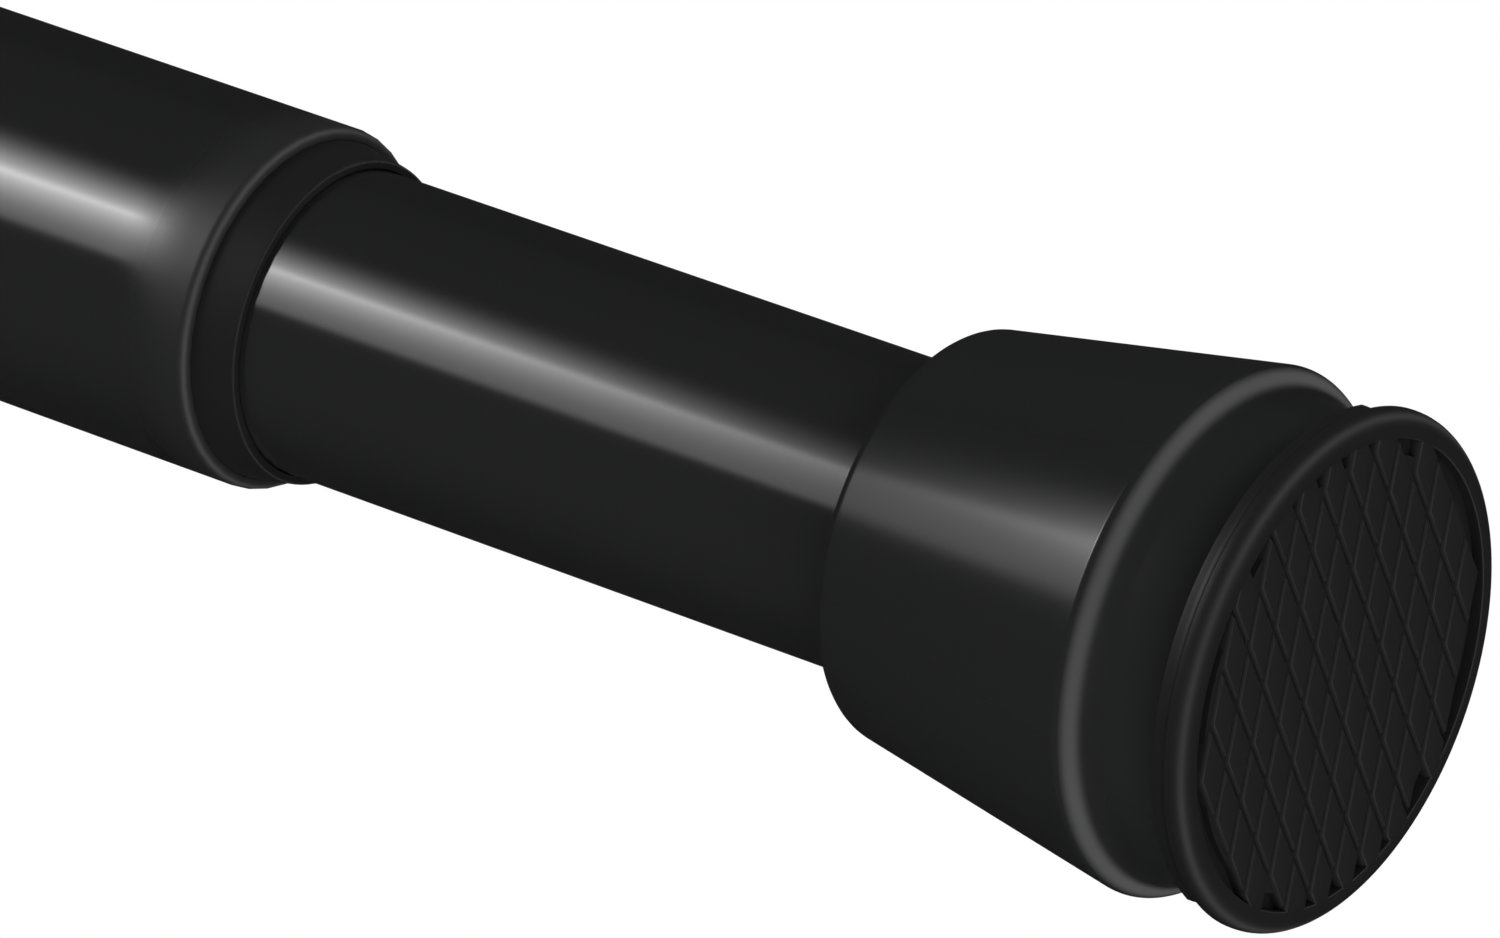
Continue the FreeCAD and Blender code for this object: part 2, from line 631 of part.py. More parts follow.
def tension_spring():
    """Return the coil spring as a wire swept along its helix."""
    start = BUSH_LENGTH + SEAT_GAP + SEAT_THICKNESS
    wire_radius = SPRING_WIRE_DIA / 2
    mean_radius = INNER_BORE_R - SPRING_TUBE_GAP - wire_radius
    free_length = SPRING_ROOM - 2 * wire_radius
    helix = Part.makeHelix(free_length / SPRING_COILS, free_length, mean_radius)
    section = Part.Wire(Part.makeCircle(wire_radius, Vector(mean_radius, 0, 0), Vector(0, 1, 0)))
    coil = Part.Wire(helix).makePipeShell([section], True, True)
    coil.rotate(CENTRE, Vector(0, 1, 0), 90)
    coil.translate(Vector(start + wire_radius, 0, 0))
    return coil


def spring_stop():
    """Return the fixed plug that the spring's far end pushes against."""
    low = BUSH_LENGTH + SEAT_GAP + SEAT_THICKNESS + SPRING_ROOM
    stop = rod(low, low + STOP_LENGTH, INNER_BORE_R - SEAT_CLEARANCE)
    return stop.cut(rod(low - OVERRUN, low + STOP_LENGTH + OVERRUN, STOP_BORE_DIA / 2))


def at_tail(shape):
    """Move a piece of the lock or spring unit to the smaller tube's tail."""
    moved = shape.copy()
    moved.translate(Vector(TAIL_X, 0, 0))
    return moved


outer_tube = round_tube(TUBE_SETBACK, MOUTH_X, OUTER_TUBE_R, OUTER_TUBE_WALL, MOUTH_X)
inner_tube = round_tube(TAIL_X, REST_LENGTH - TUBE_SETBACK, INNER_TUBE_R, INNER_TUBE_WALL, None)
pad = foot_pad()
base = foot_base()
screw = foot_screw()

save(outer_tube, "outer_tube")
save(mouth_collar(), "mouth_collar")
save(place_at_outer_end(tube_plug(OUTER_BORE_R)), "outer_tube_plug")
save(place_at_outer_end(end_cap(OUTER_TUBE_R)), "outer_end_cap")
save(place_at_outer_end(base), "outer_foot_base")
save(place_at_outer_end(screw), "outer_foot_screw")
save(place_at_outer_end(pad), "outer_foot_pad")

save(inner_tube, "inner_tube")
save(place_at_inner_end(tube_plug(INNER_BORE_R)), "inner_tube_plug")
save(place_at_inner_end(end_cap(INNER_TUBE_R)), "inner_end_cap")
save(place_at_inner_end(base), "inner_foot_base")
save(place_at_inner_end(screw), "inner_foot_screw")
save(place_at_inner_end(pad), "inner_foot_pad")

save(at_tail(lock_sleeve()), "lock_sleeve")
save(at_tail(lock_cone()), "lock_cone")
save(at_tail(spindle()), "spindle")
save(at_tail(spindle_clip()), "spindle_clip")
save(at_tail(end_nut()), "spindle_end_nut")
save(at_tail(spring_seat()), "spring_seat")
save(at_tail(seat_pin()), "spring_seat_pin")
save(at_tail(tension_spring()), "tension_spring")
save(at_tail(spring_stop()), "spring_stop")
save(at_tail(tail_bush()), "tail_bush")

print("rest length", REST_LENGTH, "lip", LIP_X, "mouth", MOUTH_X, "tail", TAIL_X)
print("lock travel in", LOCK_TRAVEL_IN, "out", LOCK_TRAVEL_OUT, "cone travel", CONE_TRAVEL)
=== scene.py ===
"""Looks of the telescopic shower curtain rod: finishes, fine pieces, studio and camera.

Everything is in metres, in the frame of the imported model: the rod lies along +X, its origin is
the centre of the larger tube's foot, and +Z is up. Sizes in classes are in millimetres.
"""
import logging
import math
from dataclasses import dataclass
from enum import Enum
from typing import Any, ClassVar, Sequence

import bmesh
import bpy
from mathutils import Matrix, Vector


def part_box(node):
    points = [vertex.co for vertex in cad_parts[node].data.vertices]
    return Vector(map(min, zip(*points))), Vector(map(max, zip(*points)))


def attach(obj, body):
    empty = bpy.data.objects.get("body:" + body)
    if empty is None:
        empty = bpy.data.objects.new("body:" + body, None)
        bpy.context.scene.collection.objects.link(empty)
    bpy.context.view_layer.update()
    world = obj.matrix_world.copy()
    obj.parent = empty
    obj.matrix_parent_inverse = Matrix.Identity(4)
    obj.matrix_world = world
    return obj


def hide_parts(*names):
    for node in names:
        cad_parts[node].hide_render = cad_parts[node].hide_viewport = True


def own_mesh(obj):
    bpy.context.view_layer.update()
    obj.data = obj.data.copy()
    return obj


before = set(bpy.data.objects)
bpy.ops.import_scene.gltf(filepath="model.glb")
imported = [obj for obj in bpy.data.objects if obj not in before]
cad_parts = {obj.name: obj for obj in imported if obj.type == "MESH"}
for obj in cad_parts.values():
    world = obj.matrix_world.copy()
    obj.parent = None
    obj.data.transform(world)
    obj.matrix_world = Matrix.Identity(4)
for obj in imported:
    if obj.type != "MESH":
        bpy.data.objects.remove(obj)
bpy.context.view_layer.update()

LOG = logging.getLogger("curtain_rod")

MM = 0.001
ON_AXIS = 1e-9
MIX_COLOURS = (6, 7)
MIX_RESULT = 2
PATCH_SCALE = (60.0, 120.0, 120.0)
CLOUD_SCALE = (45.0, 90.0, 90.0)
CLOUD_OFFSET = (3.0, 1.0, 2.0)
CLOUD_DETAIL = 4.0
FINE_DETAIL = 3.0
LONG_GRAIN = 0.02
WHITE = (1.0, 1.0, 1.0, 1.0)
CAMERA_BACK = (0.5437, -0.7042, 0.4565)

Number = int | float
Colour = tuple[float, float, float]
Direction = tuple[float, float, float]
Point = tuple[float, float]


class Grain(Enum):
    """The way in which a surface's fine marks run."""

    EVEN = "even"
    LENGTHWISE = "lengthwise"
    TURNED = "turned"


class RodEnd(Enum):
    """The two ends of the rod, named after the tube that each one closes."""

    LARGER = "outer"
    SMALLER = "inner"


class Falloff(Enum):
    """How a patch of studio light fades across its angle."""

    FLAT = "flat"
    PEAKED = "peaked"


class Wire:
    """One output socket of a node tree, with arithmetic that adds Math nodes."""

    def __init__(self, sheet: "NodeSheet", socket: bpy.types.NodeSocket) -> None:
        """Keep the socket and the sheet that it belongs to."""
        self.sheet = sheet
        self.socket = socket

    def _math(self, operation: str, *values: Any) -> "Wire":
        """Return the result of one Math node, whose inputs are wires or numbers."""
        return self.sheet.node("ShaderNodeMath", {"operation": operation}, dict(enumerate(values)))

    def __add__(self, other: Any) -> "Wire":
        """Return this value plus the other."""
        return self._math("ADD", self, other)

    def __radd__(self, other: Any) -> "Wire":
        """Return the other value plus this one."""
        return self._math("ADD", other, self)

    def __sub__(self, other: Any) -> "Wire":
        """Return this value minus the other."""
        return self._math("SUBTRACT", self, other)

    def __rsub__(self, other: Any) -> "Wire":
        """Return the other value minus this one."""
        return self._math("SUBTRACT", other, self)

    def __mul__(self, other: Any) -> "Wire":
        """Return this value times the other."""
        return self._math("MULTIPLY", self, other)

    def __rmul__(self, other: Any) -> "Wire":
        """Return the other value times this one."""
        return self._math("MULTIPLY", other, self)

    def __truediv__(self, other: Any) -> "Wire":
        """Return this value divided by the other."""
        return self._math("DIVIDE", self, other)

    def __pow__(self, other: Any) -> "Wire":
        """Return this value raised to the other."""
        return self._math("POWER", self, other)

    def arc_cosine(self) -> "Wire":
        """Return the angle in radians whose cosine this value is."""
        return self._math("ARCCOSINE", self)

    def rounded(self) -> "Wire":
        """Return the nearest whole number."""
        return self._math("ROUND", self)

    def size(self) -> "Wire":
        """Return this value without its sign."""
        return self._math("ABSOLUTE", self)

    def modulo(self, other: Any) -> "Wire":
        """Return what is left of this value after division by the other."""
        return self._math("MODULO", self, other)

    def at_least(self, other: Any) -> "Wire":
        """Return the greater of this value and the other."""
        return self._math("MAXIMUM", self, other)

    def at_most(self, other: Any) -> "Wire":
        """Return the lesser of this value and the other."""
        return self._math("MINIMUM", self, other)

    def above(self, other: Any) -> "Wire":
        """Return 1 where this value is greater than the other, and 0 elsewhere."""
        return self._math("GREATER_THAN", self, other)

    def parts(self) -> tuple["Wire", "Wire", "Wire"]:
        """Split this vector.

        Returns:
            Its X, Y and Z parts.
        """
        split = self.sheet.tree.nodes.new("ShaderNodeSeparateXYZ")
        self.sheet.feed(split.inputs[0], self)
        return tuple(Wire(self.sheet, socket) for socket in split.outputs)

    def unit(self) -> "Wire":
        """Return this vector at length 1."""
        return self.sheet.node("ShaderNodeVectorMath", {"operation": "NORMALIZE"}, {0: self})

    def dot(self, other: Any) -> "Wire":
        """Return the dot product of this vector and the other."""
        product = {"operation": "DOT_PRODUCT"}
        return self.sheet.node("ShaderNodeVectorMath", product, {0: self, 1: other}, "Value")

    def step(self, low: Number, high: Number) -> "Wire":
        """Return a smooth step from 0 at low to 1 at high, where high may also be under low."""
        inputs = {"Value": self, "From Min": low, "From Max": high}
        return self.sheet.node("ShaderNodeMapRange", {"interpolation_type": "SMOOTHSTEP"}, inputs)


class NodeSheet:
    """A node tree under construction, with one method that adds any node."""

    def __init__(self, tree: bpy.types.NodeTree) -> None:
        """Empty the tree and keep it."""
        self.tree = tree
        tree.nodes.clear()

    def node(
        self,
        kind: str,
        settings: dict[str, Any] | None = None,
        inputs: dict[int | str, Any] | None = None,
        output: int | str = 0,
    ) -> Wire:
        """Add a node, set it up and return one of its outputs.

        Args:
            kind: the node's type.
            settings: its own settings, by name, which are set first.
            inputs: values or wires, by the socket's name or number.
            output: the output that is returned, by name or number.

        Returns:
            The chosen output, or the first input's wire where the node has no output.
        """
        node = self.tree.nodes.new(kind)
        for name, value in (settings or {}).items():
            setattr(node, name, value)
        for key, value in (inputs or {}).items():
            self.feed(node.inputs[key], value)
        return Wire(self, node.outputs[output] if node.outputs else node.inputs[0])

    def feed(self, socket: bpy.types.NodeSocket, value: Any) -> None:
        """Link a wire to an input, or set a plain value on it.

        Args:
            socket: the input.
            value: a wire, a list of wires for a socket that joins them, or the value to set.
        """
        if isinstance(value, Wire):
            self.tree.links.new(value.socket, socket)
        elif isinstance(value, list):
            for wire in value:
                self.tree.links.new(wire.socket, socket)
        else:
            socket.default_value = value

    def place(self, scale: Sequence[float], offset: Sequence[float] = (0.0, 0.0, 0.0)) -> Wire:
        """Stretch and shift the Object coordinates.

        Args:
            scale: how many pattern units one metre holds along X, Y and Z.
            offset: the shift, in pattern units.

        Returns:
            The coordinates in pattern units.
        """
        position = self.node("ShaderNodeTexCoord", output="Object")
        inputs = {"Vector": position, "Scale": scale, "Location": offset}
        return self.node("ShaderNodeMapping", None, inputs)

    def noise(self, place: Wire, detail: float) -> Wire:
        """Return noise from 0 to 1, one unit of place to a wave, with some finer waves added."""
        inputs = {"Vector": place, "Scale": 1.0, "Detail": detail}
        return self.node("ShaderNodeTexNoise", None, inputs, "Fac")

    def blend(self, factor: Any, first: Sequence[float], second: Sequence[float]) -> Wire:
        """Mix two colours.

        Args:
            factor: 0 for the first colour, 1 for the second.
            first: the first colour.
            second: the second colour.

        Returns:
            The colour between them.
        """
        low, high = MIX_COLOURS
        inputs = {0: factor, low: (*first, 1.0), high: (*second, 1.0)}
        return self.node("ShaderNodeMix", {"data_type": "RGBA"}, inputs, MIX_RESULT)


@dataclass(frozen=True)
class Finish:
    """A surface's colour, gloss and fine relief.

    Attributes:
        name: the material's name.
        colour: the middle colour, linear.
        roughness: the middle roughness.
        mottle: how far the colour strays, as a share of it.
        unevenness: how far the roughness strays.
        grain: the way the fine marks run.
        grain_size: the size of one mark, in mm.
        relief: the depth of the marks, in mm.
        metallic: 1 for bare metal.
        specular: the shader's specular level.
    """

    name: str
    colour: Colour
    roughness: float
    mottle: float = 0.08
    unevenness: float = 0.03
    grain: Grain = Grain.EVEN
    grain_size: float = 0.4
    relief: float = 0.002
    metallic: float = 0.0
    specular: float = 0.5

    def grain_scale(self) -> tuple[float, float, float]:
        """Stretch the grain along the way that it runs.

        Returns:
            How many marks one metre holds along X, Y and Z.
        """
        fine = 1.0 / (self.grain_size * MM)
        if self.grain is Grain.LENGTHWISE:
            return (fine * LONG_GRAIN, fine, fine)
        if self.grain is Grain.TURNED:
            return (fine, fine * LONG_GRAIN, fine * LONG_GRAIN)
        return (fine, fine, fine)

    def roughness_wire(self, sheet: NodeSheet) -> Wire:
        """Return the roughness, which strays a little in soft patches."""
        patches = sheet.noise(sheet.place(PATCH_SCALE), FINE_DETAIL)
        return self.roughness + (patches - 0.5) * (2.0 * self.unevenness)

    def height_wire(self, sheet: NodeSheet) -> Wire:
        """Return the relief, from 0 to 1."""
        return sheet.noise(sheet.place(self.grain_scale()), FINE_DETAIL)

    def material(self) -> bpy.types.Material:
        """Build the finish in nodes.

        Returns:
            The material.
        """
        made = bpy.data.materials.new(self.name)
        made.use_nodes = True
        sheet = NodeSheet(made.node_tree)
        clouds = sheet.noise(sheet.place(CLOUD_SCALE, CLOUD_OFFSET), CLOUD_DETAIL)
        dark = [part * (1.0 - self.mottle) for part in self.colour]
        light = [part * (1.0 + self.mottle) for part in self.colour]
        bump = {"Height": self.height_wire(sheet), "Distance": self.relief * MM, "Strength": 1.0}
        normal = sheet.node("ShaderNodeBump", None, bump, "Normal")
        shader = sheet.node("ShaderNodeBsdfPrincipled", None, {
            "Base Color": sheet.blend(clouds, dark, light),
            "Roughness": self.roughness_wire(sheet),
            "Metallic": self.metallic,
            "Specular IOR Level": self.specular,
            "Normal": normal,
        })
        sheet.node("ShaderNodeOutputMaterial", None, {"Surface": shader})
        return made


@dataclass(frozen=True, kw_only=True)
class TubePaint(Finish):
    """Black paint on a drawn tube, duller over the last few millimetres before its cut end.

    Attributes:
        dull_start: where the sheen starts to fall off, as a place along X in metres.
        dull_end: where it is gone.
        dull_roughness: the roughness there.
    """

    dull_start: float
    dull_end: float
    dull_roughness: float = 0.5

    def roughness_wire(self, sheet: NodeSheet) -> Wire:
        """Let the roughness rise towards the cut end.

        Args:
            sheet: the material's tree.

        Returns:
            The roughness.
        """
        along, _, _ = sheet.node("ShaderNodeTexCoord", output="Object").parts()
        dulled = along.step(self.dull_start, self.dull_end)
        return super().roughness_wire(sheet) + dulled * (self.dull_roughness - self.roughness)


@dataclass(frozen=True)
class PadRubber(Finish):
    """Black rubber with a satin rim round a matt field.

    Attributes:
        field_radius: the radius of the field, in mm.
        field_blur: the width over which the roughness changes, in mm.
        field_roughness: the roughness there.
    """

    field_radius: float = 15.7
    field_blur: float = 0.4
    field_roughness: float = 0.52

    def roughness_wire(self, sheet: NodeSheet) -> Wire:
        """Make the field rougher than the rim.

        Args:
            sheet: the material's tree.

        Returns:
            The roughness.
        """
        _, side, up = sheet.node("ShaderNodeTexCoord", output="Object").parts()
        spread = (side * side + up * up) ** 0.5
        field = spread.step(self.field_radius * MM, (self.field_radius - self.field_blur) * MM)
        return super().roughness_wire(sheet) + field * (self.field_roughness - self.roughness)


@dataclass(frozen=True)
class Palette:
    """The finishes of the rod's pieces."""

    larger_tube: Finish
    smaller_tube: Finish
    collar: Finish
    cap: Finish
    base: Finish
    pad: Finish
    nylon: Finish
    lock: Finish
    plated: Finish
    spring: Finish


def grey(value: float) -> Colour:
    """Return a colour of three equal parts."""
    return (value, value, value)


def black_palette() -> Palette:
    """Choose the finishes of the black rod.

    Returns:
        The palette.
    """
    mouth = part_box("outer_tube")[1].x
    paint: dict[str, Any] = {
        "colour": (0.0125, 0.0128, 0.0127), "roughness": 0.14, "mottle": 0.06, "unevenness": 0.012,
        "grain": Grain.LENGTHWISE, "grain_size": 0.5, "relief": 0.0006,
    }
    return Palette(
        larger_tube=TubePaint(
            name="larger_tube_paint", **paint,
            dull_start=mouth - 7.5 * MM, dull_end=mouth - 1.0 * MM,
        ),
        smaller_tube=Finish(name="smaller_tube_paint", **paint),
        collar=Finish(
            name="collar_plastic", colour=grey(0.0095), roughness=0.5, mottle=0.06,
            grain_size=0.3, relief=0.001, specular=0.2,
        ),
        cap=Finish(
            name="cap_plastic", colour=(0.0144, 0.0149, 0.0147), roughness=0.2, mottle=0.06,
            unevenness=0.02, grain_size=0.3, relief=0.0008, specular=0.3,
        ),
        base=Finish(
            name="base_plastic", colour=grey(0.010), roughness=0.34, mottle=0.06,
            grain_size=0.3, relief=0.0012, specular=0.25,
        ),
        pad=PadRubber(
            name="pad_rubber", colour=grey(0.0094), roughness=0.45, unevenness=0.04,
            grain_size=0.25, relief=0.003, specular=0.25,
        ),
        nylon=Finish(
            name="natural_nylon", colour=(0.68, 0.66, 0.6), roughness=0.42, mottle=0.03,
            unevenness=0.05, grain_size=0.5, relief=0.004, specular=0.4,
        ),
        lock=Finish(
            name="lock_nylon", colour=(0.045, 0.046, 0.05), roughness=0.45, unevenness=0.05,
            grain_size=0.5, relief=0.004, specular=0.4,
        ),
        plated=Finish(
            name="plated_steel", colour=(0.6, 0.61, 0.63), roughness=0.28, mottle=0.04,
            unevenness=0.06, grain=Grain.TURNED, grain_size=0.12, metallic=1.0,
        ),
        spring=Finish(
            name="spring_steel", colour=(0.36, 0.35, 0.34), roughness=0.3, unevenness=0.06,
            grain_size=0.3, metallic=1.0,
        ),
    )


def dress(node: str, material: bpy.types.Material) -> None:
    """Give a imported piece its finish.

    Args:
        node: the piece's name.
        material: its finish.
    """
    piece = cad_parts[node]
    piece.data.materials.clear()
    piece.data.materials.append(material)
    LOG.info("dressed %s in %s", node, material.name)


def join_in(piece: bpy.types.Object, node: str, body: str) -> None:
    """Let a new piece stand for a packed one and ride on its body.

    Args:
        piece: the new piece.
        node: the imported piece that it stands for.
        body: the body that it rides on.
    """
    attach(piece, body)
    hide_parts(node)
    LOG.info("built %s with %d faces for %s", piece.name, len(piece.data.polygons), node)


def arc(start: Point, radius: float, first: float, last: float, steps: int = 14) -> list[Point]:
    """Go on from a point along a round, told by the slopes of its surface.

    Args:
        start: the point that it goes on from, as (x, radius).
        radius: its radius, negative for a hollow.
        first: the slope of the surface at the start, in degrees towards +X.
        last: the slope at the end.
        steps: how many parts it is divided in.

    Returns:
        The points along it, the first one included.
    """
    turns = [math.radians(first + (last - first) * index / steps) for index in range(steps + 1)]
    middle = (start[0] - radius * math.sin(turns[0]), start[1] - radius * math.cos(turns[0]))
    return [
        (middle[0] + radius * math.sin(turn), middle[1] + radius * math.cos(turn)) for turn in turns
    ]


def mesh_from(shape: bmesh.types.BMesh, name: str) -> bpy.types.Mesh:
    """Turn a finished bmesh into a mesh, and free it.

    Args:
        shape: the bmesh.
        name: the mesh's name.

    Returns:
        The mesh.
    """
    mesh = bpy.data.meshes.new(name)
    shape.to_mesh(mesh)
    shape.free()
    return mesh


def turned_mesh(
    name: str, outline: Sequence[Point], segments: int = 160, looped: bool = False
) -> bpy.types.Mesh:
    """Sweep an outline about X.

    Args:
        name: the mesh's name.
        outline: (x, radius) points in metres.
        segments: how many parts the turn has.
        looped: whether the outline is a loop clear of the axis. Else it starts and ends on it.

    Returns:
        The closed mesh.
    """
    shape = bmesh.new()
    rings = []
    for x, radius in outline:
        if radius < ON_AXIS:
            rings.append([shape.verts.new((x, 0.0, 0.0))])
            continue
        turns = [2.0 * math.pi * index / segments for index in range(segments)]
        places = [(x, radius * math.cos(turn), radius * math.sin(turn)) for turn in turns]
        rings.append([shape.verts.new(place) for place in places])
    following = rings[1:] + rings[:1] if looped else rings[1:]
    for first, second in zip(rings, following):
        for index in range(segments):
            after = (index + 1) % segments
            corners = [first[index % len(first)], first[after % len(first)]]
            corners += [second[after % len(second)], second[index % len(second)]]
            shape.faces.new(list(dict.fromkeys(corners)))
    bmesh.ops.recalc_face_normals(shape, faces=shape.faces)
    return mesh_from(shape, name)


def smooth_by_angle(mesh: bpy.types.Mesh, limit: float) -> None:
    """Shade a mesh smoothly, except at edges sharper than the limit.

    Args:
        mesh: the mesh.
        limit: the sharpest smooth edge, in degrees.
    """
    shape = bmesh.new()
    shape.from_mesh(mesh)
    for face in shape.faces:
        face.smooth = True
    for edge in shape.edges:
        edge.smooth = not edge.is_manifold or edge.calc_face_angle(0.0) < math.radians(limit)
    shape.to_mesh(mesh)
    shape.free()


def place_mesh(mesh: bpy.types.Mesh, name: str, material: bpy.types.Material) -> bpy.types.Object:
    """Put a finished mesh in the scene.

    Args:
        mesh: the mesh.
        name: the piece's name.
        material: its finish.

    Returns:
        The mesh's object.
    """
    mesh.materials.clear()
    mesh.materials.append(material)
    piece = bpy.data.objects.new(name, mesh)
    bpy.context.scene.collection.objects.link(piece)
    return piece


class Recipe:
    """A Geometry Nodes tree with named inputs, run once to leave a plain mesh."""

    def __init__(self, name: str, inputs: dict[str, Number | bpy.types.Object]) -> None:
        """Start the tree.

        Args:
            name: the tree's name.
            inputs: its inputs by name, with the values that they are run with.
        """
        self.tree = bpy.data.node_groups.new(name, "GeometryNodeTree")
        self.sheet = NodeSheet(self.tree)
        self.values = inputs
        self.identifiers: dict[str, str] = {}
        for label, value in inputs.items():
            kind = "NodeSocketInt" if isinstance(value, int) else "NodeSocketFloat"
            if isinstance(value, bpy.types.Object):
                kind = "NodeSocketObject"
            socket = self.tree.interface.new_socket(label, in_out="INPUT", socket_type=kind)
            self.identifiers[label] = socket.identifier
        made = {"in_out": "OUTPUT", "socket_type": "NodeSocketGeometry"}
        self.tree.interface.new_socket("Geometry", **made)
        self.group = self.tree.nodes.new("NodeGroupInput")

    def given(self, label: str) -> Wire:
        """Return a named input."""
        return Wire(self.sheet, self.group.outputs[label])

    def run(self, geometry: Wire, material: bpy.types.Material) -> bpy.types.Mesh:
        """Close the tree and run it.

        Args:
            geometry: what the tree makes.
            material: the finish that Set Material gives it.

        Returns:
            The mesh, without the modifier.
        """
        real = self.sheet.node("GeometryNodeRealizeInstances", None, {0: geometry})
        inputs = {"Geometry": real, "Material": material}
        done = self.sheet.node("GeometryNodeSetMaterial", None, inputs)
        self.sheet.node("NodeGroupOutput", None, {"Geometry": done})
        carrier = bpy.data.objects.new(self.tree.name, bpy.data.meshes.new(self.tree.name))
        bpy.context.scene.collection.objects.link(carrier)
        modifier = carrier.modifiers.new(self.tree.name, "NODES")
        modifier.node_group = self.tree
        for label, value in self.values.items():
            modifier[self.identifiers[label]] = value
        graph = bpy.context.evaluated_depsgraph_get()
        mesh = bpy.data.meshes.new_from_object(carrier.evaluated_get(graph))
        carrier.modifiers.remove(modifier)
        bpy.data.objects.remove(carrier)
        return mesh


def end_matrix(end: RodEnd) -> Matrix:
    """Lead from an end's own frame to the rod's frame, both in metres.

    In the end's frame the foot's face lies at X = 0 and the rod at negative X.

    Args:
        end: the end of the rod.

    Returns:
        The matrix that turns and moves a mesh from one to the other.
    """
    if end is RodEnd.LARGER:
        return Matrix.Rotation(math.pi, 4, "Z")
    return Matrix.Translation((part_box("inner_foot_pad")[1].x, 0.0, 0.0))


@dataclass
class EndPiece:
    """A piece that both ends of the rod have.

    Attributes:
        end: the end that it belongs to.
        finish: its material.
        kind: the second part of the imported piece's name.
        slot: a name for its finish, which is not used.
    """

    end: RodEnd
    finish: bpy.types.Material
    kind: ClassVar[str]
    slot: ClassVar[str]

    def node(self) -> str:
        """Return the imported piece's name."""
        return f"{self.end.value}_{self.kind}"

    def stand_in(self, mesh: bpy.types.Mesh, name: str, limit: float) -> None:
        """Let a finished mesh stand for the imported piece.

        Args:
            mesh: the mesh, in the end's frame.
            name: the new piece's name.
            limit: the sharpest edge that is shaded smoothly, in degrees.
        """
        mesh.transform(end_matrix(self.end))
        smooth_by_angle(mesh, limit)
        piece = place_mesh(mesh, name, self.finish)
        join_in(piece, self.node(), f"{self.end.value}_rod")


@dataclass
class EndCap(EndPiece):
    """A tapered end cap: a round shoulder falls to a nearly straight neck that meets the pad.

    Sizes are in millimetres and slopes in degrees. A setback is a distance from the foot's face.
    """

    kind: ClassVar[str] = "end_cap"
    slot: ClassVar[str] = "black_cap"
    neck_radius: float = 16.15
    neck_slope: float = 5.0
    neck_setback: float = 2.42
    neck_round: float = 0.25
    neck_round_middle: Point = (0.3, 0.25)
    rim_radius: float = 17.76
    rim_setback: float = 9.95
    rim_round: float = 0.7
    rim_slope: float = 35.0
    shoulder_round: float = 2.8
    shoulder_slope: float = 50.0
    back_wall: float = 3.5
    back_round: float = 1.2
    pocket_radius: float = 11.7
    pocket_setback: float = 9.6
    spigot_radius: float = 7.55
    web: float = 4.4

    def outline(self) -> list[Point]:
        """Draw the cap's half outline, as a loop.

        Returns:
            Its points in the end's frame, in mm.
        """
        low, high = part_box(self.node())
        away = (high.x if self.end is RodEnd.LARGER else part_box("inner_foot_pad")[1].x - low.x) / MM
        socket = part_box(f"{self.end.value}_tube")[1].y / MM
        back_radius = socket + self.back_wall
        cone = math.degrees(math.atan2(self.rim_radius - back_radius, away - self.rim_setback))
        rim = arc((-self.rim_setback, self.rim_radius), self.rim_round, -cone, self.rim_slope)
        shoulder = arc(rim[-1], self.shoulder_round, self.rim_slope, self.shoulder_slope)
        low_slope, high_slope = math.radians(self.neck_slope), math.radians(self.shoulder_slope)
        fillet = (shoulder[-1][1] - self.neck_radius) / (math.cos(low_slope) - math.cos(high_slope))
        hollow = arc(shoulder[-1], -fillet, self.shoulder_slope, self.neck_slope)
        reach = -self.neck_setback - hollow[-1][0]
        front_radius = hollow[-1][1] - reach * math.tan(low_slope)
        edge, (inset, drop) = self.neck_round, self.neck_round_middle
        front = [
            (-self.neck_setback - edge, front_radius + edge * math.tan(low_slope)),
            (-self.neck_setback - edge * inset, front_radius - edge * drop),
            (-self.neck_setback, front_radius - edge),
        ]
        back = arc((-away, back_radius - self.back_round), self.back_round, -90.0, -cone, steps=8)
        web_back = self.pocket_setback + self.web
        hollows = [
            (-away, socket), (-web_back, socket), (-web_back, self.spigot_radius),
            (-self.pocket_setback, self.spigot_radius), (-self.pocket_setback, self.pocket_radius),
            (-self.neck_setback, self.pocket_radius),
        ]
        return hollows[::-1] + back + rim + shoulder[1:] + hollow[1:] + front

    def build(self) -> None:
        """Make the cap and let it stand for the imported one."""
        outline = [(x * MM, radius * MM) for x, radius in self.outline()]
        mesh = turned_mesh(self.node(), outline, segments=256, looped=True)
        self.stand_in(mesh, f"{self.end.value}_shouldered_cap", limit=30.0)


